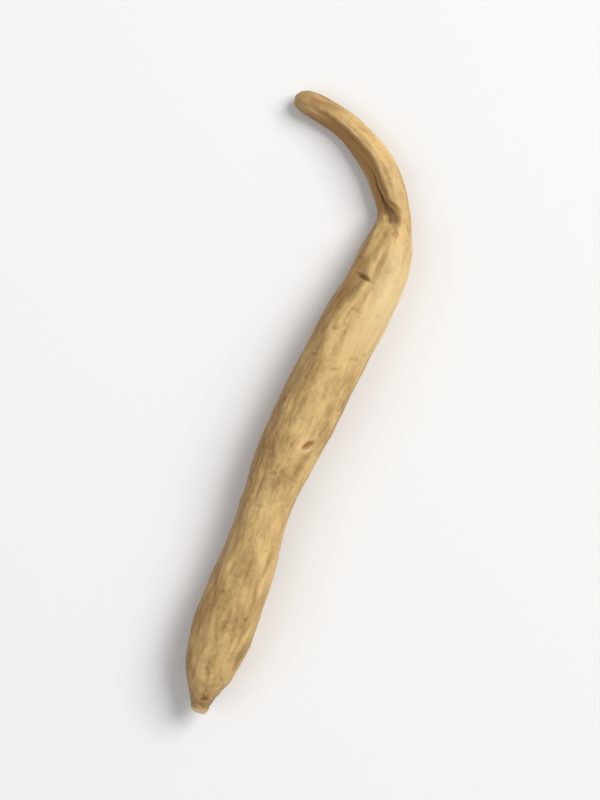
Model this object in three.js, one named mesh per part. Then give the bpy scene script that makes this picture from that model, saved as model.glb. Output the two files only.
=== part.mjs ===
// One dried tuberous root of pseudostellaria, lying on its side. Millimetres, +Z up.
//
// The root is a spindle: a lathe profile of radius against distance, from the stem scar at the
// crown to the blunt end of the tail. The spindle is bent along the root's centreline. A
// shrinkage furrow is pressed into the inner flank of the tail.
//
// The origin is on the surface that the root rests on, below the middle of its box. The crown
// points to -Y and the tail to +Y, with its hook bending towards -X.

import * as THREE from 'three';
import { mergeVertices } from 'three/addons/utils/BufferGeometryUtils.js';

// Driving dimensions, in millimetres.
const THICKNESS = 5.1; // across the main swell
const HEIGHT_TO_WIDTH = 0.95; // the section is a little lower than it is wide

// Fineness of the mesh.
const STATIONS = 72;
const SEGMENTS_AROUND = 30;
const WELD = 1e-4;

// The centreline from crown to tail: x, y and height above the surface. It comes down to the
// surface at the second swell, at the outside of the bend and at the tip of the tail, and
// arches a little between them.
const CENTRELINE = [
  [-8.2, -25.0, 2.2],
  [-7.3, -21.6, 2.3],
  [-6.0, -17.9, 2.4],
  [-4.3, -13.5, 2.5],
  [-2.8, -8.7, 2.65],
  [-1.4, -5.0, 2.8],
  [0.9, -0.4, 2.9],
  [3.7, 5.2, 2.8],
  [6.2, 9.8, 2.4],
  [7.4, 13.4, 1.74],
  [7.6, 15.3, 1.4],
  [7.1, 17.2, 1.42],
  [6.3, 19.2, 1.4],
  [4.0, 22.1, 1.2],
  [1.6, 23.8, 1.0],
  [-0.4, 24.8, 0.95],
];

// The lathe profile from crown to tail: distance as a fraction of the centreline's length,
// and radius as a fraction of THICKNESS.
const PROFILE = [
  [0, 0], // stem scar
  [0.003, 0.11],
  [0.018, 0.17],
  [0.036, 0.26], // neck
  [0.06, 0.37],
  [0.096, 0.455],
  [0.132, 0.494], // second swell
  [0.2, 0.47],
  [0.31, 0.414], // waist
  [0.415, 0.48],
  [0.52, 0.5], // main swell
  [0.65, 0.465],
  [0.71, 0.417],
  [0.743, 0.325],
  [0.773, 0.27], // pinch at the bend
  [0.81, 0.284],
  [0.915, 0.225],
  [0.974, 0.196],
  [0.994, 0.125],
  [1, 0], // tip of the tail
];

// The furrow. Distances are fractions of the length, and angles are from the top of the section
// towards the inside of the hook.
const FURROW = {
  start: 0.745, // in the pit at the bend, on top of the root
  settled: 0.79, // where it has swung over to its full angle and depth
  shallowing: 0.9,
  end: 0.99,
  angle: THREE.MathUtils.degToRad(48),
  halfWidth: THREE.MathUtils.degToRad(46),
  depth: 0.32,
};

/** How deep the furrow cuts at a place on the section. */
function furrowDepth(along, angleInwards) {
  if (along <= FURROW.start || along >= FURROW.end) {
    return 0;
  }
  const centre = FURROW.angle * THREE.MathUtils.smoothstep(along, FURROW.start, FURROW.settled);
  const across = Math.abs(angleInwards - centre) / FURROW.halfWidth;
  if (across >= 1) {
    return 0;
  }
  const opening = THREE.MathUtils.smoothstep(along, FURROW.start, FURROW.settled);
  const closing = 1 - THREE.MathUtils.smoothstep(along, FURROW.shallowing, FURROW.end);
  return FURROW.depth * opening * closing * Math.cos((across * Math.PI) / 2) ** 2;
}

/** The straight spindle, its axis along +Y from 0 to 1, closed at both ends on the axis. */
function makeSpindle() {
  const outline = PROFILE.map(([along, radius]) => new THREE.Vector2(radius * THICKNESS, along));
  const points = new THREE.SplineCurve(outline).getPoints(STATIONS);
  points.forEach((point) => point.set(Math.max(point.x, 0), THREE.MathUtils.clamp(point.y, 0, 1)));
  points[0].set(0, 0);
  points[STATIONS].set(0, 1);
  return new THREE.LatheGeometry(points, SEGMENTS_AROUND);
}

/** Bends the spindle along the centreline and presses the furrow in. */
function bend(spindle) {
  const stations = CENTRELINE.map((station) => new THREE.Vector3(...station));
  const centreline = new THREE.CatmullRomCurve3(stations, false, 'centripetal');
  const vertical = new THREE.Vector3(0, 0, 1);
  const position = spindle.attributes.position;
  for (let i = 0; i < position.count; i += 1) {
    const along = position.getY(i);
    const right = position.getX(i);
    const upwards = position.getZ(i);
    const radius = Math.hypot(right, upwards);
    const depth = furrowDepth(along, Math.atan2(-right, upwards));
    const shrink = radius > depth ? 1 - depth / radius : 1;

    const forward = centreline.getTangentAt(along);
    const side = new THREE.Vector3().crossVectors(forward, vertical).normalize();
    const top = new THREE.Vector3().crossVectors(side, forward);
    const place = centreline.getPointAt(along);
    place.addScaledVector(side, right * shrink);
    place.addScaledVector(top, upwards * shrink * HEIGHT_TO_WIDTH);
    position.setXYZ(i, place.x, place.y, place.z);
  }
}

/** Moves the geometry so that the origin is on the surface, below the middle of its box. */
function standOnOrigin(geometry) {
  geometry.computeBoundingBox();
  const box = geometry.boundingBox;
  const middle = box.getCenter(new THREE.Vector3());
  geometry.translate(-middle.x, -middle.y, -box.min.z);
}

const spindle = makeSpindle();
bend(spindle);
spindle.deleteAttribute('normal');
spindle.deleteAttribute('uv');
const geometry = mergeVertices(spindle, WELD);
standOnOrigin(geometry);
geometry.computeVertexNormals();

const driedSkin = new THREE.MeshStandardMaterial({ color: 0xbe9b64, roughness: 0.7, metalness: 0 });
const tuberousRoot = new THREE.Mesh(geometry, driedSkin);
tuberousRoot.name = 'tuberous_root';

const part = new THREE.Group();
part.add(tuberousRoot);
export default part;
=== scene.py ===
"""Dresses one dried pseudostellaria root, lying on a pale table.

The root is one piece. A geometry node tree sweeps its skin along the centreline of the CAD node, raises the
swellings, wrinkles, furrow, scars and ends on it, and leaves a named attribute behind for each thing that
the finish has to find again. The root's own sizes are in millimetres, and the stage's are in metres.
"""

import logging
import math
import random
from dataclasses import asdict, dataclass
from enum import Enum
from typing import Any, Mapping, Optional, Sequence, Union

import bpy
import numpy as np
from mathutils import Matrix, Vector


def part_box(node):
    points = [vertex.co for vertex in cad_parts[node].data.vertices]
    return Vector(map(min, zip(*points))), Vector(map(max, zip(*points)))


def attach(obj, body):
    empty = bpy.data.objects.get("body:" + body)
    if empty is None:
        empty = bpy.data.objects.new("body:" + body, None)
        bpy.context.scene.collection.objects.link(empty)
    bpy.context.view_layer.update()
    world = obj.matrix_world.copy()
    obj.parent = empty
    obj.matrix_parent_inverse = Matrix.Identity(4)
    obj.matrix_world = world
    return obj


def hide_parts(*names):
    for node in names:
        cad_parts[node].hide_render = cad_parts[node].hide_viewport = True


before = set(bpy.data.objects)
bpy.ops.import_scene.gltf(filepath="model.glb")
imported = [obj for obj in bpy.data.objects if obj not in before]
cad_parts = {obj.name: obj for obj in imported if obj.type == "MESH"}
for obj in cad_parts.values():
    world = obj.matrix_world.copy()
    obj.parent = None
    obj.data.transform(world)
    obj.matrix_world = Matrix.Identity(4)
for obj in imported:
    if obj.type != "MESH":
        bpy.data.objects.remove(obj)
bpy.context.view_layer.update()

MM = 0.001
CAD_NODE = "tuberous_root"
BODY = "root"
PIECE_NAME = "dried_root"
CLEAR_OF_TABLE = 0.00001  # the lowest that any of the skin lies
SCAR_RINGS = 400  # how finely the spindle is divided to find a scar's place on it
STEEPEST = 0.95  # how far out on the spindle, as a share of its radius, a scar seen from above may lie

log = logging.getLogger("root")


# --------------------------------------------------------------------------------------------------
# Node trees that read as arithmetic
# --------------------------------------------------------------------------------------------------


class Field:
    """A number or vector that flows out of a node. Arithmetic on it adds nodes to its graph."""

    def __init__(self, graph: "Graph", socket: bpy.types.NodeSocket) -> None:
        """Notes where the value comes from.

        Args:
            graph: The graph that the value flows in.
            socket: The output socket that it comes out of.
        """
        self.graph = graph
        self.socket = socket

    def __add__(self, other: "Value") -> "Field":
        """The sum."""
        return self.graph.math("ADD", self, other)

    def __radd__(self, other: "Value") -> "Field":
        """The sum, with a plain number first."""
        return self.graph.math("ADD", other, self)

    def __sub__(self, other: "Value") -> "Field":
        """The difference."""
        return self.graph.math("SUBTRACT", self, other)

    def __rsub__(self, other: "Value") -> "Field":
        """The difference, with a plain number first."""
        return self.graph.math("SUBTRACT", other, self)

    def __mul__(self, other: "Value") -> "Field":
        """The product."""
        return self.graph.math("MULTIPLY", self, other)

    def __rmul__(self, other: "Value") -> "Field":
        """The product, with a plain number first."""
        return self.graph.math("MULTIPLY", other, self)

    def __truediv__(self, other: "Value") -> "Field":
        """The quotient."""
        return self.graph.math("DIVIDE", self, other)

    def __neg__(self) -> "Field":
        """The value with its sign turned."""
        return self.graph.math("MULTIPLY", self, -1.0)

    def __abs__(self) -> "Field":
        """The value without its sign."""
        return self.graph.math("ABSOLUTE", self)


Value = Union[Field, float, int]


class Graph:
    """Adds nodes to a geometry tree or a shader tree."""

    def __init__(self, tree: bpy.types.NodeTree) -> None:
        """Starts with no seed.

        Args:
            tree: The node tree to build in.
        """
        self.tree = tree
        self.seed: Value = 0.0

    def node(self, kind: str, inputs: Optional[Mapping[Any, Any]] = None, **settings: Any) -> bpy.types.Node:
        """Adds one node.

        Args:
            kind: The node's type name.
            inputs: What to feed in, by socket name or number.
            settings: Values of the node's own properties.

        Returns:
            The new node.
        """
        made = self.tree.nodes.new(kind)
        for name, value in settings.items():
            setattr(made, name, value)
        for key, value in (inputs or {}).items():
            self.feed(self.find(made.inputs, key), value)
        return made

    @staticmethod
    def find(sockets: Sequence[bpy.types.NodeSocket], key: Any) -> bpy.types.NodeSocket:
        """The socket of that name that is in use, or the socket at that number."""
        if isinstance(key, int):
            return sockets[key]
        return next(socket for socket in sockets if socket.enabled and socket.name == key)

    def feed(self, socket: bpy.types.NodeSocket, value: Any) -> None:
        """Links a field or a socket into a socket, or sets the socket's own value."""
        if isinstance(value, Field):
            self.tree.links.new(value.socket, socket)
        elif isinstance(value, bpy.types.NodeSocket):
            self.tree.links.new(value, socket)
        else:
            socket.default_value = value

    def out(self, node: bpy.types.Node, key: Any = 0) -> Field:
        """What comes out of a node, by socket name or number."""
        return Field(self, self.find(node.outputs, key))

    def math(self, operation: str, *values: Value) -> Field:
        """One Math node."""
        return self.out(self.node("ShaderNodeMath", dict(enumerate(values)), operation=operation))

    def vector(self, operation: str, *values: Any) -> Field:
        """One Vector Math node with a vector result."""
        return self.out(self.node("ShaderNodeVectorMath", dict(enumerate(values)), operation=operation))

    def scaled(self, vector: Field, amount: Value) -> Field:
        """A vector times a number."""
        node = self.node("ShaderNodeVectorMath", {0: vector, "Scale": amount}, operation="SCALE")
        return self.out(node)

    def combine(self, x: Value, y: Value, z: Value) -> Field:
        """A vector made of three numbers."""
        return self.out(self.node("ShaderNodeCombineXYZ", {0: x, 1: y, 2: z}))

    def separate(self, vector: Field) -> tuple[Field, Field, Field]:
        """A vector's three numbers."""
        node = self.node("ShaderNodeSeparateXYZ", {0: vector})
        return self.out(node, 0), self.out(node, 1), self.out(node, 2)

    def step(self, value: Value, start: float, end: float) -> Field:
        """Rises smoothly from 0 at start to 1 at end, which may be the lower of the two."""
        low, high, first, last = (start, end, 0.0, 1.0) if start < end else (end, start, 1.0, 0.0)
        inputs = {"Value": value, "From Min": low, "From Max": high, "To Min": first, "To Max": last}
        return self.out(self.node("ShaderNodeMapRange", inputs, interpolation_type="SMOOTHSTEP"))

    def bump(self, value: Value, centre: Value, half_width: float) -> Field:
        """Is 1 at the centre and falls smoothly to 0 at half a width from it."""
        return self.step(abs(self.math("SUBTRACT", value, centre)), half_width, 0.0)

    def noise(self, vector: Field, scale: float, detail: float = 2.0, roughness: float = 0.5) -> Field:
        """Noise from about -0.5 to 0.5, centred on 0, which the graph's seed varies."""
        inputs = {"Vector": vector, "W": self.seed, "Scale": scale, "Detail": detail, "Roughness": roughness}
        return self.out(self.node("ShaderNodeTexNoise", inputs, noise_dimensions="4D")) - 0.5

    def most(self, *values: Value) -> Field:
        """The greatest of several values."""
        greatest = values[0]
        for value in values[1:]:
            greatest = self.math("MAXIMUM", greatest, value)
        return greatest

    def named(self, name: str, kind: str = "FLOAT") -> Field:
        """A named attribute of the geometry."""
        node = self.node("GeometryNodeInputNamedAttribute", {"Name": name}, data_type=kind)
        return self.out(node)

    def blend(self, amount: Value, first: Any, second: Any) -> Field:
        """A colour from the first, at an amount of 0, to the second, at 1."""
        inputs = {"Factor": amount, "A": first, "B": second}
        return self.out(self.node("ShaderNodeMix", inputs, data_type="RGBA", clamp_factor=True), "Result")


# --------------------------------------------------------------------------------------------------
# The root's line and thickness
# --------------------------------------------------------------------------------------------------


@dataclass(frozen=True)
class Spindle:
    """The root's centreline and thickness, which repeat those of the CAD node, in millimetres."""

    thickness: float = 5.1
    height_to_width: float = 0.95
    samples_per_span: int = 60
    centreline: tuple[tuple[float, float, float], ...] = (
        (-8.2, -25.0, 2.2),
        (-7.3, -21.6, 2.3),
        (-6.0, -17.9, 2.4),
        (-4.3, -13.5, 2.5),
        (-2.8, -8.7, 2.65),
        (-1.4, -5.0, 2.8),
        (0.9, -0.4, 2.9),
        (3.7, 5.2, 2.8),
        (6.2, 9.8, 2.4),
        (7.4, 13.4, 1.74),
        (7.6, 15.3, 1.4),
        (7.1, 17.2, 1.42),
        (6.3, 19.2, 1.4),
        (4.0, 22.1, 1.2),
        (1.6, 23.8, 1.0),
        (-0.4, 24.8, 0.95),
    )
    profile: tuple[tuple[float, float], ...] = (
        (0.0, 0.0),
        (0.003, 0.11),
        (0.018, 0.17),
        (0.036, 0.26),
        (0.06, 0.37),
        (0.096, 0.455),
        (0.132, 0.494),
        (0.2, 0.47),
        (0.31, 0.414),
        (0.415, 0.48),
        (0.52, 0.5),
        (0.65, 0.465),
        (0.71, 0.417),
        (0.743, 0.325),
        (0.773, 0.27),
        (0.81, 0.284),
        (0.915, 0.225),
        (0.974, 0.196),
        (0.994, 0.125),
        (1.0, 0.0),
    )

    def line(self) -> tuple[np.ndarray, np.ndarray]:
        """The centreline as a close row of points.

        Returns:
            The points, and the distance along to each of them.
        """
        points = smooth_curve(np.array(self.centreline), 0.5, self.samples_per_span)
        steps = np.linalg.norm(np.diff(points, axis=0), axis=1)
        return points, np.concatenate(([0.0], np.cumsum(steps)))

    def rings(self, count: int) -> tuple[np.ndarray, np.ndarray, np.ndarray, float]:
        """Places rings at even steps over the skin, from one end to the other.

        Args:
            count: How many rings.

        Returns:
            Each ring's centre, its fraction of the length and its radius, and the whole length.
        """
        points, distances = self.line()
        length = distances[-1]
        outline = smooth_curve(np.array(self.profile), 0.0, self.samples_per_span)
        outline = np.clip(outline, 0.0, 1.0)
        on_skin = outline * (length, self.thickness)
        steps = np.linalg.norm(np.diff(on_skin, axis=0), axis=1)
        reached = np.concatenate(([0.0], np.cumsum(steps)))
        even = np.linspace(0.0, reached[-1], count)
        along = np.interp(even, reached, outline[:, 0])
        radius = np.interp(even, reached, on_skin[:, 1])
        centres = np.stack([np.interp(along * length, distances, points[:, k]) for k in range(3)], axis=1)
        return centres, along, radius, length

    def surface(self, count: int, angles: np.ndarray) -> np.ndarray:
        """The plain skin's points at those angles from the top towards the right, ring by ring."""
        centres, _, radius, _ = self.rings(count)
        right, top = frames_along(centres)
        reach = radius[:, None, None]
        across = right[:, None, :] * np.sin(angles)[None, :, None]
        upwards = top[:, None, :] * np.cos(angles)[None, :, None] * self.height_to_width
        return centres[:, None, :] + (across + upwards) * reach


def smooth_curve(points: np.ndarray, tension_power: float, samples: int) -> np.ndarray:
    """A Catmull-Rom curve through points.

    Args:
        points: The points, one a row.
        tension_power: 0 for a uniform curve, 0.5 for a centripetal one.
        samples: How many points to give for each span.

    Returns:
        The points of the curve, one a row.
    """
    before, after = (2 * points[0] - points[1], 2 * points[-1] - points[-2])
    if tension_power == 0.0:
        before, after = points[0], points[-1]
    padded = np.vstack([before, points, after])
    t = np.linspace(0.0, 1.0, samples, endpoint=False)[:, None]
    made = []
    for p0, p1, p2, p3 in zip(padded, padded[1:], padded[2:], padded[3:]):
        gaps = [np.linalg.norm(b - a) ** tension_power for a, b in ((p0, p1), (p1, p2), (p2, p3))]
        leave = ((p1 - p0) / gaps[0] - (p2 - p0) / (gaps[0] + gaps[1]) + (p2 - p1) / gaps[1]) * gaps[1]
        arrive = ((p2 - p1) / gaps[1] - (p3 - p1) / (gaps[1] + gaps[2]) + (p3 - p2) / gaps[2]) * gaps[1]
        rest = -3 * p1 + 3 * p2 - 2 * leave - arrive
        made.append(p1 + leave * t + rest * t**2 + (2 * p1 - 2 * p2 + leave + arrive) * t**3)
    return np.vstack([*made, points[-1:]])


def frames_along(centres: np.ndarray) -> tuple[np.ndarray, np.ndarray]:
    """The directions to the right and to the top of each ring."""
    forward = np.gradient(centres, axis=0)
    right = np.cross(forward, (0.0, 0.0, 1.0))
    right /= np.linalg.norm(right, axis=1, keepdims=True)
    top = np.cross(right, forward)
    top /= np.linalg.norm(top, axis=1, keepdims=True)
    return right, top


# --------------------------------------------------------------------------------------------------
# Scars
# --------------------------------------------------------------------------------------------------


class ScarKind(Enum):
    """What kind of mark a scar is: how orange, deep, rimmed and stained it is."""

    NOTCH = (0.15, 0.75, 0.12, 0.95)
    SLIT = (1.0, 0.5, 0.45, 1.0)
    DOT = (0.45, 0.18, 0.1, 0.42)
    PORE = (0.3, 0.1, 0.0, 0.3)
    SMUDGE = (0.7, 0.02, 0.0, 0.5)

    @property
    def warmth(self) -> float:
        """0 for a dark brown mark, 1 for an orange-brown one."""
        return self.value[0]

    @property
    def depth(self) -> float:
        """The depth as a share of the half width."""
        return self.value[1]

    @property
    def rim(self) -> float:
        """How high the pale rim round it stands, from 0 to 1."""
        return self.value[2]

    @property
    def stain(self) -> float:
        """How strongly it is coloured, from 0 to 1."""
        return self.value[3]


@dataclass(frozen=True)
class Scar:
    """A mark that a rootlet left. Lengths are in millimetres, angles in degrees."""

    kind: ScarKind
    along: float  # fraction of the root's length, from the crown
    turn: float  # from the top towards the right
    half_length: float
    half_width: float
    slant: float  # of its long axis from the root's own, towards the right

    @property
    def reach(self) -> float:
        """How far from its middle its mark and rim spread."""
        return 2.2 * self.half_length


@dataclass(frozen=True)
class TopScar:
    """A scar on the upper side, placed as it lies seen from above.

    Lengths are in millimetres, and the slant is in degrees.
    """

    kind: ScarKind
    x: float
    y: float
    half_length: float
    half_width: float
    slant: float

    def on(self, spindle: Spindle) -> Scar:
        """The same scar, placed by how far along the spindle it is and how far round it."""
        centres, along, radius, _ = spindle.rings(SCAR_RINGS)
        right, _ = frames_along(centres)
        aside = np.array((self.x, self.y)) - centres[:, :2]
        nearest = int(np.linalg.norm(aside, axis=1).argmin())
        share = aside[nearest] @ right[nearest, :2] / radius[nearest]
        share = float(np.clip(share, -STEEPEST, STEEPEST))
        turn = math.degrees(math.asin(share))
        return Scar(self.kind, float(along[nearest]), turn, self.half_length, self.half_width, self.slant)


TOP_SCARS = (
    TopScar(ScarKind.NOTCH, 4.9, 9.7, 0.95, 0.26, 100),
    TopScar(ScarKind.SLIT, 0.7, -3.6, 0.66, 0.32, 40),
    TopScar(ScarKind.SMUDGE, 7.6, 13.0, 0.5, 0.35, 10),
    TopScar(ScarKind.SMUDGE, 1.2, 24.2, 0.75, 0.42, 20),
    TopScar(ScarKind.DOT, 2.8, 5.7, 0.42, 0.2, 75),
    TopScar(ScarKind.DOT, 1.0, 3.7, 0.5, 0.2, 86),
    TopScar(ScarKind.PORE, 2.7, 2.4, 0.4, 0.2, 60),
    TopScar(ScarKind.PORE, 4.4, 3.2, 0.5, 0.24, 70),
    TopScar(ScarKind.DOT, -2.1, -5.7, 0.4, 0.2, 65),
    TopScar(ScarKind.DOT, -4.0, -6.1, 0.6, 0.22, 84),
    TopScar(ScarKind.PORE, -3.2, -8.3, 0.5, 0.2, 85),
    TopScar(ScarKind.PORE, -5.3, -13.9, 0.8, 0.2, 88),
)

OTHER_SCARS = (
    Scar(ScarKind.SMUDGE, 0.62, -60, 1.1, 0.4, 20),
    Scar(ScarKind.SMUDGE, 0.44, -65, 1.5, 0.5, 12),
    Scar(ScarKind.SLIT, 0.25, 110, 0.6, 0.2, 82),
    Scar(ScarKind.DOT, 0.15, 35, 0.34, 0.16, 78),
    Scar(ScarKind.SLIT, 0.12, 140, 0.7, 0.24, 85),
    Scar(ScarKind.NOTCH, 0.09, -105, 0.5, 0.18, 80),
    Scar(ScarKind.SLIT, 0.48, 165, 0.9, 0.28, 84),
    Scar(ScarKind.NOTCH, 0.36, 120, 0.8, 0.22, 80),
    Scar(ScarKind.DOT, 0.6, -140, 0.5, 0.22, 88),
    Scar(ScarKind.SLIT, 0.27, -150, 0.7, 0.22, 86),
    Scar(ScarKind.DOT, 0.68, 110, 0.5, 0.2, 82),
    Scar(ScarKind.DOT, 0.955, 60, 0.34, 0.12, 75),
    Scar(ScarKind.NOTCH, 0.022, 15, 0.42, 0.18, 80),
    Scar(ScarKind.SLIT, 0.03, -70, 0.4, 0.16, 60),
)


@dataclass(frozen=True)
class Scars:
    """All the rootlet scars: the large ones where they are, and small ones strewn between them."""

    small_count: int = 34
    seed: int = 11
    clearance: float = 0.9  # least distance between the ends of two scars, in millimetres
    tries: int = 4000

    def strewn(self, spindle: Spindle) -> list[Scar]:
        """The large scars and the seeded small ones, none too close to another."""
        draw = random.Random(self.seed)
        kept = [scar.on(spindle) for scar in TOP_SCARS] + list(OTHER_SCARS)
        places = [self.place(spindle, scar) for scar in kept]
        reaches = [scar.reach for scar in kept]
        wanted = len(kept) + self.small_count
        for _ in range(self.tries):
            if len(kept) == wanted:
                break
            size = draw.uniform(0.09, 0.17)
            scar = Scar(
                kind=draw.choice((ScarKind.PORE, ScarKind.PORE, ScarKind.DOT)),
                along=draw.uniform(0.02, 0.985),
                turn=draw.uniform(-180.0, 180.0),
                half_length=size * draw.uniform(1.6, 3.2),
                half_width=size * 0.75,
                slant=draw.gauss(85.0, 14.0),
            )
            place = self.place(spindle, scar)
            gaps = [np.linalg.norm(place - other) - reach for other, reach in zip(places, reaches)]
            if min(gaps) > self.clearance:
                kept.append(scar)
                places.append(place)
                reaches.append(scar.reach)
        return kept

    @staticmethod
    def place(spindle: Spindle, scar: Scar) -> np.ndarray:
        """Where on the plain skin a scar is, in the spindle's own millimetres."""
        _, along, _, _ = spindle.rings(SCAR_RINGS)
        nearest = int(np.abs(along - scar.along).argmin())
        return spindle.surface(SCAR_RINGS, np.radians([scar.turn]))[nearest, 0]

    def build(self, spindle: Spindle, shift: np.ndarray) -> bpy.types.Object:
        """Makes a cloud of points, one a scar, that carries each scar's sizes as attributes."""
        scars = self.strewn(spindle)
        places = [(self.place(spindle, scar) + shift) * MM for scar in scars]
        values = {
            "scar_along": [scar.along for scar in scars],
            "scar_turn": [math.radians(scar.turn) for scar in scars],
            "scar_half_length": [scar.half_length for scar in scars],
            "scar_half_width": [scar.half_width for scar in scars],
            "scar_slant": [math.radians(scar.slant) for scar in scars],
            "scar_depth": [scar.half_width * scar.kind.depth for scar in scars],
            "scar_rim": [scar.half_width * scar.kind.rim for scar in scars],
            "scar_warmth": [scar.kind.warmth for scar in scars],
            "scar_stain": [scar.kind.stain for scar in scars],
            "scar_halo": [scar.kind.rim for scar in scars],
        }
        return point_row("scar_points", places, values, joined=False)


def point_row(
    name: str, places: Sequence[Any], values: Mapping[str, Sequence[float]], joined: bool
) -> bpy.types.Object:
    """A mesh of bare points with a number attribute for each list of values.

    Args:
        name: The object's name.
        places: Where the points are.
        values: Each attribute's name and its values.
        joined: Whether an edge joins each point to the next.

    Returns:
        The object, linked to the scene.
    """
    mesh = bpy.data.meshes.new(name)
    edges = [(i, i + 1) for i in range(len(places) - 1)] if joined else []
    mesh.from_pydata([tuple(place) for place in places], edges, [])
    for key, numbers in values.items():
        mesh.attributes.new(key, "FLOAT", "POINT").data.foreach_set("value", numbers)
    made = bpy.data.objects.new(name, mesh)
    bpy.context.scene.collection.objects.link(made)
    return made


# --------------------------------------------------------------------------------------------------
# The skin
# --------------------------------------------------------------------------------------------------


@dataclass(frozen=True)
class Furrow:
    """Where the shrinkage furrow runs down the inner flank of the tail.

    The starts and ends are fractions of the root's length.
    """

    start: float = 0.748
    settled: float = 0.795
    shallowing: float = 0.9
    end: float = 0.99
    angle: float = math.radians(50)  # inwards from the top
    lip: float = math.radians(48)  # from the middle up to the sharp lip
    flank: float = math.radians(66)  # from the middle down to where it runs out
    crack_start: float = 0.74
    crack_end: float = 0.87


@dataclass(frozen=True)
class Relief:
    """How high or deep each kind of relief is, in millimetres."""

    swelling: float = 0.4
    facet: float = 0.5
    wrinkle: float = 0.3
    crease: float = 0.06
    ring: float = 0.025
    furrow: float = 0.42
    crack: float = 0.2
    crown: float = 0.26
    stem_scar: float = 0.22
    tip: float = 0.24


def drawn_out(graph: Graph, place: Field, lengthwise: float) -> Field:
    """A place on the skin for noise that runs along the root in slightly slanting, wavy lines.

    Args:
        graph: The tree to build in.
        place: The place in millimetres.
        lengthwise: What the length along the root is multiplied by.

    Returns:
        The changed place.
    """
    broad = graph.vector("MULTIPLY", place, (0.3, 0.5, 0.5))
    sway = graph.noise(broad, 1.0, 1.0)
    slant = graph.noise(graph.vector("ADD", broad, (7.0, 3.0, 5.0)), 1.0, 1.0)
    swayed = graph.vector("ADD", place, graph.combine(0.0, sway * 1.3, slant * 1.3))
    return graph.vector("MULTIPLY", swayed, (lengthwise, 1.0, 1.0))


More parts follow.
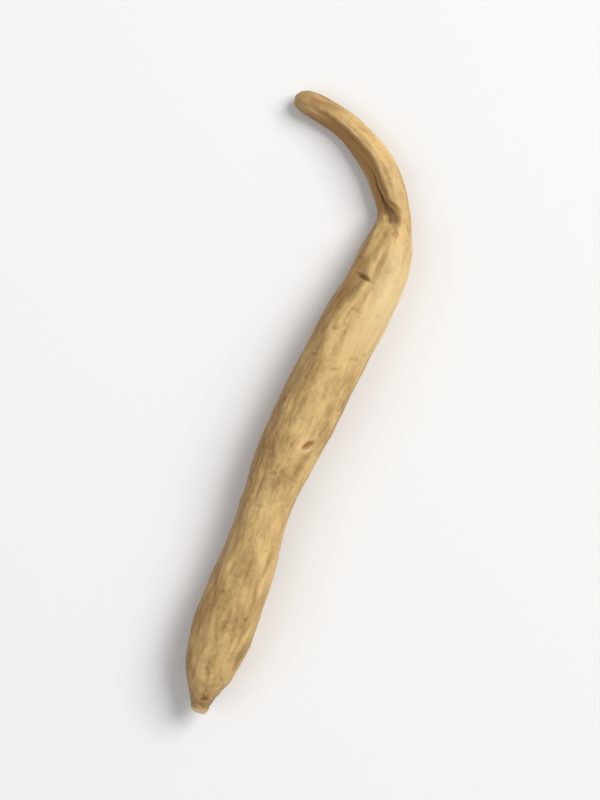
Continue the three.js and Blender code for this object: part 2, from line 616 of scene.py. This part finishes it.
class SkinFields:
    """The fields that shape the skin. Places are in millimetres and angles in radians."""

    def __init__(self, graph: Graph, furrow: Furrow, length: float) -> None:
        """Reads the attributes that the sweep has left on the skin.

        Args:
            graph: The geometry tree.
            furrow: Where the furrow runs.
            length: The length of the centreline in millimetres.
        """
        self.graph = graph
        self.course = furrow
        self.along = graph.named("along")
        self.distance = self.along * length
        self.left_over = length - self.distance
        self.girth = graph.named("girth")
        self.turn = graph.named("turn")
        self.right = graph.math("SINE", self.turn)
        self.up = graph.math("COSINE", self.turn)
        self.inward = graph.math("ARCTAN2", -self.right, self.up)
        self.place = graph.combine(self.distance, self.girth * self.right, self.girth * self.up)

    def stretched(self, lengthwise: float) -> Field:
        """The place on the skin with its length shortened, so that noise in it is drawn out."""
        return drawn_out(self.graph, self.place, lengthwise)

    def swellings(self) -> Field:
        """Broad uneven swellings and hollows."""
        broad = self.graph.combine(self.distance * 0.16, self.right * 0.8, self.up * 0.8)
        return self.graph.noise(broad, 1.0, 1.0) * self.girth / 2.5

    def facets(self) -> Field:
        """The flattened sides that shrinking leaves between blunt long ridges."""
        graph = self.graph
        round_about = graph.combine(self.distance * 0.09, self.right * 1.5, self.up * 1.5)
        flats = graph.noise(round_about, 1.0, 1.0)
        return (0.03 - abs(flats)) * self.girth / 1.25

    def wrinkles(self) -> Field:
        """Long shrinkage wrinkles that come and go along the root."""
        patches = self.graph.noise(self.stretched(0.3), 0.45, 1.0)
        strength = self.graph.step(patches, -0.22, 0.22) * 0.8 + 0.4
        coarse = self.graph.noise(self.stretched(0.22), 1.0, 2.0, 0.45)
        fine = self.graph.noise(self.stretched(0.26), 2.6, 2.0, 0.5)
        return (coarse + fine * 0.5) * strength

    def creases(self) -> Field:
        """Sharp narrow creases between the wrinkles, 1 in the middle of a crease."""
        course = self.graph.noise(self.stretched(0.12), 0.95, 2.0, 0.5)
        lines = self.graph.bump(course, 0.0, 0.03)
        gaps = self.graph.step(self.graph.noise(self.stretched(0.5), 0.7, 1.0), -0.05, 0.12)
        return lines * gaps

    def rings(self) -> Field:
        """Faint creases across the root, 1 in the middle of a crease."""
        rows = self.graph.combine(self.distance * 1.1, self.right * 0.7, self.up * 0.7)
        lines = self.graph.bump(self.graph.noise(rows, 1.0, 1.0), 0.0, 0.022)
        gaps = self.graph.step(self.graph.noise(self.place, 0.8, 1.0), 0.0, 0.14)
        return lines * gaps

    def furrow(self) -> Field:
        """The furrow's hollow, 1 where it is deepest."""
        course, graph = self.course, self.graph
        waver = graph.noise(graph.combine(self.distance * 0.4, 0.0, 0.0), 1.0, 1.0) * 0.35
        middle = graph.step(self.along, course.start, course.settled) * course.angle + waver
        across = self.inward - middle
        upper = graph.step(across, -course.lip, -course.lip * 0.62)
        lower = graph.step(across, course.flank, course.flank * 0.2)
        opening = graph.step(self.along, course.start, course.settled)
        closing = graph.step(self.along, course.end, course.shallowing)
        return upper * lower * opening * closing

    def crack(self) -> Field:
        """The dark split along the bottom of the furrow, which starts on top at the bend, 1 in its middle."""
        course, graph = self.course, self.graph
        middle = graph.step(self.along, course.start, course.settled) * math.radians(46)
        waver = graph.noise(graph.combine(self.distance * 0.9, 3.0, 0.0), 1.0, 1.0) * 0.4
        ragged = graph.noise(self.stretched(0.5), 2.2, 2.0) * 0.5
        half_width = graph.bump(self.along, 0.76, 0.045) * 0.36 + 0.14
        across = abs(self.inward - middle - waver) / half_width + ragged
        opening = graph.step(self.along, course.crack_start, course.crack_start + 0.012)
        closing = graph.step(self.along, course.crack_end, course.settled)
        return graph.step(across, 1.15, 0.35) * opening * closing

    def crown(self) -> Field:
        """The rough, ringed crown, which stands out or in by its value."""
        graph = self.graph
        near = graph.step(self.distance, 3.6, 0.4)
        knobs = graph.noise(self.place, 1.9, 3.0, 0.6)
        wavering = self.distance + graph.noise(self.place, 1.3, 1.0) * 0.9
        grooves = graph.most(*(graph.bump(wavering, centre, 0.22) for centre in (0.75, 1.5, 2.4)))
        return (knobs - grooves * 0.3) * near

    def stem_scar(self) -> Field:
        """The cup that the stem has left in the crown's end, 1 at its bottom."""
        return self.graph.step(self.girth, 0.5, 0.18) * self.graph.step(self.distance, 0.6, 0.3)

    def tip(self) -> Field:
        """The blunt rough end of the tail, which stands out or in by its value."""
        near = self.graph.step(self.left_over, 2.2, 0.3)
        return self.graph.noise(self.place, 2.0, 2.0, 0.6) * near


class NearestScar:
    """The scar nearest to each point of the skin, and how far off its middle the point is."""

    def __init__(self, fields: SkinFields, scars: Field, length: float) -> None:
        """Finds the nearest scar and measures off it, in its own two directions.

        Args:
            fields: The skin's fields.
            scars: The geometry that holds the scar points.
            length: The length of the centreline in millimetres.
        """
        self.graph = fields.graph
        self.fields = fields
        self.scars = scars
        graph = self.graph
        position = graph.out(graph.node("GeometryNodeInputPosition"))
        nearest = graph.node("GeometryNodeSampleNearest", {"Geometry": scars, "Sample Position": position})
        self.index = graph.out(nearest)
        along = (fields.along - self.value("scar_along")) * length
        turned = fields.turn - self.value("scar_turn")
        wrapped = graph.math("ARCTAN2", graph.math("SINE", turned), graph.math("COSINE", turned))
        across = wrapped * fields.girth
        slant = self.value("scar_slant")
        cosine, sine = graph.math("COSINE", slant), graph.math("SINE", slant)
        ragged = graph.noise(fields.place, 3.2, 2.0) * 0.5
        lengthwise = (along * cosine + across * sine) / self.value("scar_half_length")
        sideways = (across * cosine - along * sine) / self.value("scar_half_width")
        self.off = graph.math("SQRT", lengthwise * lengthwise + sideways * sideways) + ragged

    def value(self, name: str) -> Field:
        """A number that the nearest scar carries."""
        inputs = {"Geometry": self.scars, "Value": self.graph.named(name), "Index": self.index}
        return self.graph.out(self.graph.node("GeometryNodeSampleIndex", inputs, data_type="FLOAT"))

    def mark(self) -> Field:
        """The scar itself, 1 in its middle."""
        return self.graph.step(self.off, 1.1, 0.45)

    def rim(self) -> Field:
        """The raised rim round it, 1 on its crest."""
        return self.graph.bump(self.off, 1.45, 0.75)

    def relief(self) -> Field:
        """What the scar adds to the relief, in millimetres."""
        return self.rim() * self.value("scar_rim") * 0.3 - self.mark() * self.value("scar_depth")


@dataclass(frozen=True)
class Skin:
    """The root's skin, swept along the spindle and then raised into its relief."""

    spindle: Spindle = Spindle()
    scars: Scars = Scars()
    relief: Relief = Relief()
    furrow: Furrow = Furrow()
    rings: int = 560
    segments: int = 156
    seed: float = 4.0

    def build(self, finish: bpy.types.Material) -> bpy.types.Object:
        """Makes the skin as one closed mesh at the CAD node's place.

        Args:
            finish: The material that it is given.

        Returns:
            The root, as a plain mesh.
        """
        centres, along, radius, length = self.spindle.rings(self.rings)
        shift = self.shift_to_frame()
        places = (centres + shift) * MM
        host = point_row(PIECE_NAME, places, {"along": along, "girth": radius}, joined=True)
        marks = self.scars.build(self.spindle, shift)
        inputs = {
            "Scar points": marks,
            "Segments around": self.segments,
            "Seed": self.seed,
            "Finish": finish,
            **asdict(self.relief),
        }
        mesh = grown_mesh(host, self.tree(length), inputs)
        bpy.data.objects.remove(marks)
        host.data = mesh
        log.info("%s: %d faces, %.1f mm along its centreline", PIECE_NAME, len(mesh.polygons), length)
        return host

    def shift_to_frame(self) -> np.ndarray:
        """How far the spindle has to move for its box to meet the CAD node's box, in millimetres."""
        angles = np.linspace(0.0, math.tau, 90, endpoint=False)
        plain = self.spindle.surface(self.rings, angles).reshape(-1, 3)
        lowest, highest = (np.array(corner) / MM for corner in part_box(CAD_NODE))
        shift = (lowest + highest - plain.min(axis=0) - plain.max(axis=0)) / 2
        shift[2] = lowest[2] - plain[:, 2].min()
        return shift

    def tree(self, length: float) -> bpy.types.NodeTree:
        """The geometry nodes that make the skin out of the centreline.

        Args:
            length: The length of the centreline in millimetres.

        Returns:
            The node tree.
        """
        tree = bpy.data.node_groups.new("root skin", "GeometryNodeTree")
        face = tree.interface
        face.new_socket("Geometry", in_out="INPUT", socket_type="NodeSocketGeometry")
        face.new_socket("Scar points", in_out="INPUT", socket_type="NodeSocketObject")
        face.new_socket("Segments around", in_out="INPUT", socket_type="NodeSocketInt")
        face.new_socket("Seed", in_out="INPUT", socket_type="NodeSocketFloat")
        face.new_socket("Finish", in_out="INPUT", socket_type="NodeSocketMaterial")
        for name in asdict(self.relief):
            face.new_socket(name, in_out="INPUT", socket_type="NodeSocketFloat")
        face.new_socket("Geometry", in_out="OUTPUT", socket_type="NodeSocketGeometry")
        graph = Graph(tree)
        given = graph.node("NodeGroupInput")
        graph.seed = graph.out(given, "Seed")
        swept = self.swept(graph, graph.out(given, "Geometry"), graph.out(given, "Segments around"))
        marks = graph.node("GeometryNodeObjectInfo", {"Object": graph.out(given, "Scar points")})
        points = graph.out(marks, "Geometry")
        heights = {name: graph.out(given, name) for name in asdict(self.relief)}
        raised = self.raised(graph, swept, points, heights, length)
        smooth = graph.out(graph.node("GeometryNodeSetShadeSmooth", {"Geometry": raised}))
        plain = graph.out(graph.node("GeometryNodeRealizeInstances", {"Geometry": smooth}))
        finish = graph.out(given, "Finish")
        painted = graph.node("GeometryNodeSetMaterial", {"Geometry": plain, "Material": finish})
        graph.node("NodeGroupOutput", {"Geometry": graph.out(painted)})
        return tree

    def swept(self, graph: Graph, line: Field, segments: Field) -> Field:
        """The plain skin: a ring round each point of the line, as wide as the point's girth."""
        curve = graph.out(graph.node("GeometryNodeMeshToCurve", {"Mesh": line}))
        forward = graph.out(graph.node("GeometryNodeInputTangent"))
        right = graph.vector("NORMALIZE", graph.vector("CROSS_PRODUCT", forward, (0.0, 0.0, 1.0)))
        top = graph.vector("NORMALIZE", graph.vector("CROSS_PRODUCT", right, forward))
        position = graph.out(graph.node("GeometryNodeInputPosition"))
        for name, value in (("centre", position), ("right", right), ("top", top)):
            curve = self.stored(graph, curve, name, value, "FLOAT_VECTOR")
        circle = graph.node("GeometryNodeCurvePrimitiveCircle", {"Resolution": segments, "Radius": MM})
        ring = graph.out(circle)
        count = graph.out(graph.node("GeometryNodeInputIndex"))
        ring = self.stored(graph, ring, "turn", count / segments * math.tau)
        tube = graph.out(graph.node("GeometryNodeCurveToMesh", {"Curve": curve, "Profile Curve": ring}))
        girth, turn = graph.named("girth"), graph.named("turn")
        width = graph.math("SINE", turn) * girth * MM
        across = graph.scaled(graph.named("right", "FLOAT_VECTOR"), width)
        height = graph.math("COSINE", turn) * girth * (MM * self.spindle.height_to_width)
        upwards = graph.scaled(graph.named("top", "FLOAT_VECTOR"), height)
        centre = graph.named("centre", "FLOAT_VECTOR")
        place = graph.vector("ADD", centre, graph.vector("ADD", across, upwards))
        placed = graph.out(graph.node("GeometryNodeSetPosition", {"Geometry": tube, "Position": place}))
        return graph.out(graph.node("GeometryNodeMergeByDistance", {"Geometry": placed, "Distance": 1e-6}))

    def raised(
        self, graph: Graph, skin: Field, scar_points: Field, heights: Mapping[str, Field], length: float
    ) -> Field:
        """The skin with its relief, and with the attributes that the finish reads.

        Args:
            graph: The geometry tree.
            skin: The plain skin.
            scar_points: The scars' points.
            heights: How high or deep each kind of relief is, in millimetres.
            length: The length of the centreline in millimetres.

        Returns:
            The raised skin.
        """
        fields = SkinFields(graph, self.furrow, length)
        scar = NearestScar(fields, scar_points, length)
        ridge, crease, ring = fields.wrinkles(), fields.creases(), fields.rings()
        furrow, crack, cup = fields.furrow(), fields.crack(), fields.stem_scar()
        slim = graph.step(fields.girth, 0.0, 2.0)
        broad = fields.swellings() * heights["swelling"] + fields.facets() * heights["facet"]
        folds = ridge * heights["wrinkle"] * (slim * 0.7 + 0.3)
        lines = (crease * heights["crease"] + ring * heights["ring"]) * slim
        hollows = furrow * heights["furrow"] + crack * heights["crack"] + cup * heights["stem_scar"]
        ends = fields.crown() * heights["crown"] + fields.tip() * heights["tip"]
        numbers = {
            "relief": broad + folds + ends + scar.relief() - lines - hollows,
            "ridge": ridge,
            "crease": graph.most(crease, ring * 0.7),
            "furrow": furrow,
            "crack": crack,
            "scar": scar.mark() * scar.value("scar_stain"),
            "scar_rim": scar.rim() * scar.value("scar_halo"),
            "warmth": scar.value("scar_warmth"),
            "cup": cup,
        }
        for name, value in numbers.items():
            skin = self.stored(graph, skin, name, value)
        around = graph.combine(fields.right, fields.up, fields.along)
        skin = self.stored(graph, skin, "place", fields.place, "FLOAT_VECTOR")
        skin = self.stored(graph, skin, "around", around, "FLOAT_VECTOR")
        normal = graph.out(graph.node("GeometryNodeInputNormal"))
        offset = graph.scaled(normal, graph.named("relief") * MM)
        skin = graph.out(graph.node("GeometryNodeSetPosition", {"Geometry": skin, "Offset": offset}))
        x, y, z = graph.separate(graph.out(graph.node("GeometryNodeInputPosition")))
        rested = graph.combine(x, y, graph.most(z, CLEAR_OF_TABLE))
        return graph.out(graph.node("GeometryNodeSetPosition", {"Geometry": skin, "Position": rested}))

    @staticmethod
    def stored(graph: Graph, geometry: Field, name: str, value: Field, kind: str = "FLOAT") -> Field:
        """The geometry with one more named attribute on its points."""
        inputs = {"Geometry": geometry, "Name": name, "Value": value}
        return graph.out(graph.node("GeometryNodeStoreNamedAttribute", inputs, data_type=kind))


def grown_mesh(host: bpy.types.Object, tree: bpy.types.NodeTree, inputs: Mapping[str, Any]) -> bpy.types.Mesh:
    """The mesh that a geometry tree makes of an object, as plain mesh data.

    Args:
        host: The object that the tree works on. Its modifier is gone afterwards.
        tree: The geometry tree.
        inputs: What to set the tree's named inputs to.

    Returns:
        The new mesh.
    """
    modifier = host.modifiers.new(tree.name, "NODES")
    modifier.node_group = tree
    for item in tree.interface.items_tree:
        if item.in_out == "INPUT" and item.name in inputs:
            modifier[item.identifier] = inputs[item.name]
    host.update_tag()
    bpy.context.view_layer.update()
    evaluated = host.evaluated_get(bpy.context.evaluated_depsgraph_get())
    mesh = bpy.data.meshes.new_from_object(evaluated)
    host.modifiers.clear()
    return mesh


# --------------------------------------------------------------------------------------------------
# The finish
# --------------------------------------------------------------------------------------------------

Colour = tuple[float, float, float, float]


@dataclass(frozen=True)
class DrySkinFinish:
    """The colours and gloss of the dry skin. Colours are linear."""

    cream: Colour = (0.71, 0.485, 0.195, 1.0)
    tan: Colour = (0.30, 0.158, 0.043, 1.0)
    # painted shade: the brown given to the flank that is turned away from the key light
    flank: Colour = (0.29, 0.145, 0.036, 1.0)
    # darker brown of the flecks and the crown, also used as painted shade in the wrinkle hollows and creases
    fold: Colour = (0.21, 0.105, 0.03, 1.0)
    furrow: Colour = (0.36, 0.178, 0.042, 1.0)
    dark: Colour = (0.105, 0.045, 0.012, 1.0)
    orange: Colour = (0.34, 0.13, 0.03, 1.0)
    # pale cream of the scurf, the scar rims and the crown's end, also used for the painted highlight on the
    # right flank
    pale: Colour = (0.78, 0.60, 0.33, 1.0)
    tip: Colour = (0.33, 0.215, 0.09, 1.0)
    roughness: float = 0.56
    specular: float = 0.5
    fibre: float = 0.03  # height of the fine fibres, in millimetres
    pore: float = 0.012  # depth of the finest grain, in millimetres

    def build(self) -> bpy.types.Material:
        """Makes the material.

        Returns:
            The new material.
        """
        material = bpy.data.materials.new("dry_root_skin")
        material.use_nodes = True
        tree = material.node_tree
        tree.nodes.clear()
        graph = Graph(tree)
        place = self.attribute(graph, "place", "Vector")
        colour = self.colour(graph, place)
        fibres = graph.noise(drawn_out(graph, place, 0.16), 4.5, 4.0, 0.6)
        grain = graph.noise(graph.vector("MULTIPLY", place, (0.6, 1.0, 1.0)), 9.0, 3.0, 0.65)
        height = fibres * (2 * self.fibre) + grain * (2 * self.pore)
        normal = graph.out(graph.node("ShaderNodeBump", {"Strength": 1.0, "Distance": MM, "Height": height}))
        inputs = {
            "Base Color": colour,
            "Roughness": fibres * 0.35 + grain * 0.2 + self.roughness,
            "Specular IOR Level": self.specular,
            "Normal": normal,
        }
        shader = graph.node("ShaderNodeBsdfPrincipled", inputs)
        graph.node("ShaderNodeOutputMaterial", {"Surface": graph.out(shader)})
        return material

    @staticmethod
    def attribute(graph: Graph, name: str, output: str = "Fac") -> Field:
        """What a named attribute holds."""
        node = graph.node("ShaderNodeAttribute", attribute_name=name)
        return graph.out(node, output)

    def colour(self, graph: Graph, place: Field) -> Field:
        """The skin's colour, from its general tan to its marks and ends, with painted shade and painted
        highlights.
        """
        right, up, along = graph.separate(self.attribute(graph, "around", "Vector"))
        ridge, crease = self.attribute(graph, "ridge"), self.attribute(graph, "crease")
        furrow, crack = self.attribute(graph, "furrow"), self.attribute(graph, "crack")
        scar, rim = self.attribute(graph, "scar"), self.attribute(graph, "scar_rim")
        streaks = graph.noise(drawn_out(graph, place, 0.17), 1.9, 4.0, 0.55)
        patches = graph.noise(graph.vector("MULTIPLY", place, (0.4, 1.0, 1.0)), 0.5, 2.0, 0.5)
        mottle = graph.noise(place, 2.6, 3.0, 0.6)
        # The skin's own tone comes from the streaks, patches and mottle. Painted light is added on top of it:
        # the wrinkle crests and the top and right side, towards the key light, are made paler.
        tone_and_painted_light = streaks * 1.3 + patches * 1.4 + mottle * 0.55 + ridge * 0.8 + right * 0.08 + up * 0.08
        # Painted highlight: a paler cream patch on the right flank, the side towards the key light, from
        # about 0.52 to 0.76 of the way along.
        painted_highlight = graph.bump(along, 0.64, 0.12) * graph.step(right, -0.3, 0.6)
        colour = graph.blend(graph.step(tone_and_painted_light + painted_highlight * 0.4, -0.5, 0.55), self.tan, self.cream)
        colour = graph.blend(painted_highlight * 0.5, colour, self.pale)
        # Painted shade: the left and lower flank, turned away from the key light, is browned, broken up by
        # the streaks and patches.
        shade = up * 0.5 + right * 0.5 + streaks * 0.6 + patches * 0.5
        colour = graph.blend(graph.step(shade, 0.4, -0.45) * 0.5, colour, self.flank)
        # Painted shade: the hollows between the wrinkles and the creases are darkened towards the fold brown.
        hollow_shade = graph.step(ridge + mottle * 0.5, -0.1, -0.6)
        colour = graph.blend(hollow_shade * 0.5, colour, self.fold)
        colour = graph.blend(crease * 0.28, colour, self.fold)
        brown = graph.step(furrow, 0.0, 0.6) * (graph.step(mottle + streaks, 0.5, -0.5) * 0.35 + 0.7)
        colour = graph.blend(brown, colour, self.furrow)
        specks = graph.noise(graph.vector("MULTIPLY", place, (0.7, 1.0, 1.0)), 3.3, 2.0, 0.5)
        flecks = graph.step(specks, 0.17, 0.25)
        colour = graph.blend(flecks * 0.5, colour, self.fold)
        scurf = graph.step(graph.noise(place, 4.2, 2.0, 0.55), 0.15, 0.26)
        colour = graph.blend(scurf * 0.22, colour, self.pale)
        colour = graph.blend(rim * (mottle + 0.75), colour, self.pale)
        mark = graph.blend(self.attribute(graph, "warmth"), self.dark, self.orange)
        colour = graph.blend(scar * 0.85, colour, mark)
        colour = graph.blend(crack * 0.8, colour, self.dark)
        crown = graph.step(along + mottle * 0.05, 0.06, 0.01)
        colour = graph.blend(crown * (mottle + 0.7), colour, self.fold)
        colour = graph.blend(graph.step(along + mottle * 0.006, 0.012, 0.001), colour, self.pale)
        colour = graph.blend(self.attribute(graph, "cup") * 0.7, colour, self.dark)
        tip = graph.step(along + mottle * 0.03, 0.965, 0.995)
        return graph.blend(tip * (mottle + streaks + 0.6), colour, self.tip)


# --------------------------------------------------------------------------------------------------
# The stage
# --------------------------------------------------------------------------------------------------


@dataclass(frozen=True)
class Lamp:
    """A square soft light that faces the root."""

    name: str
    place: tuple[float, float, float]
    size: float
    power: float
    tint: tuple[float, float, float]


@dataclass(frozen=True)
class Stage:
    """The table, the lights and the camera."""

    lamps: tuple[Lamp, ...] = (
        Lamp("key", (0.44, 0.26, 0.5), 0.44, 4.85, (1.0, 0.985, 0.96)),
        Lamp("fill", (-0.42, -0.1, 0.5), 0.5, 1.1, (0.97, 0.98, 1.0)),
    )
    lens: float = 135.0
    elevation: float = 88.0
    distance: float = 0.2414
    aim: tuple[float, float, float] = (0.0, 0.0, 0.0022)
    table_size: float = 1.2
    table_tone: float = 0.87
    table_roughness: float = 0.9
    table_specular: float = 0.1
    room_strength: float = 0.3

    def build(self) -> None:
        """Sets everything round the root."""
        self.table()
        for lamp in self.lamps:
            self.light(lamp)
        self.world()
        self.camera()
        view = bpy.context.scene.view_settings
        view.view_transform = "Standard"
        view.look = "None"
        log.info("stage: table, lights and camera")

    def table(self) -> None:
        """A plain pale table top at height 0."""
        half = self.table_size / 2
        mesh = bpy.data.meshes.new("table")
        corners = [(-half, -half, 0.0), (half, -half, 0.0), (half, half, 0.0), (-half, half, 0.0)]
        mesh.from_pydata(corners, [], [(0, 1, 2, 3)])
        table = bpy.data.objects.new("table", mesh)
        bpy.context.scene.collection.objects.link(table)
        material = bpy.data.materials.new("table_white")
        material.use_nodes = True
        shader = material.node_tree.nodes["Principled BSDF"]
        shader.inputs["Base Color"].default_value = (self.table_tone, self.table_tone, self.table_tone, 1.0)
        shader.inputs["Roughness"].default_value = self.table_roughness
        shader.inputs["Specular IOR Level"].default_value = self.table_specular
        mesh.materials.append(material)

    def light(self, lamp: Lamp) -> None:
        """Hangs one lamp."""
        light = bpy.data.lights.new(lamp.name, "AREA")
        light.size = lamp.size
        light.energy = lamp.power
        light.color = lamp.tint
        self.aimed(bpy.data.objects.new(lamp.name, light), lamp.place)

    def aimed(self, thing: bpy.types.Object, place: tuple[float, float, float]) -> None:
        """Puts a light or a camera in its place, turned to the root."""
        thing.location = place
        thing.rotation_euler = (Vector(self.aim) - Vector(place)).to_track_quat("-Z", "Y").to_euler()
        bpy.context.scene.collection.objects.link(thing)

    def world(self) -> None:
        """An even pale surrounding."""
        world = bpy.data.worlds.new("room")
        world.use_nodes = True
        background = world.node_tree.nodes["Background"]
        background.inputs["Color"].default_value = (1.0, 1.0, 1.0, 1.0)
        background.inputs["Strength"].default_value = self.room_strength
        bpy.context.scene.world = world

    def camera(self) -> None:
        """The camera, which looks down on the root with its tail uppermost in view."""
        camera = bpy.data.cameras.new("camera")
        camera.lens = self.lens
        camera.clip_start = 0.001
        angle = math.radians(self.elevation)
        offset = Vector((0.0, -math.cos(angle), math.sin(angle))) * self.distance
        seat = bpy.data.objects.new("camera", camera)
        self.aimed(seat, tuple(Vector(self.aim) + offset))
        bpy.context.scene.camera = seat


# --------------------------------------------------------------------------------------------------
# Putting it together
# --------------------------------------------------------------------------------------------------


def main() -> None:
    """Builds the root on its stage and notes its size."""
    logging.basicConfig(level=logging.INFO, format="%(name)s: %(message)s")
    root = Skin().build(DrySkinFinish().build())
    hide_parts(CAD_NODE)
    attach(root, BODY)
    Stage().build()


def plain(box: Any) -> list[list[float]]:
    """A box's corners as plain lists."""
    return [[float(number) for number in corner] for corner in box]


if __name__ == "__main__":
    main()
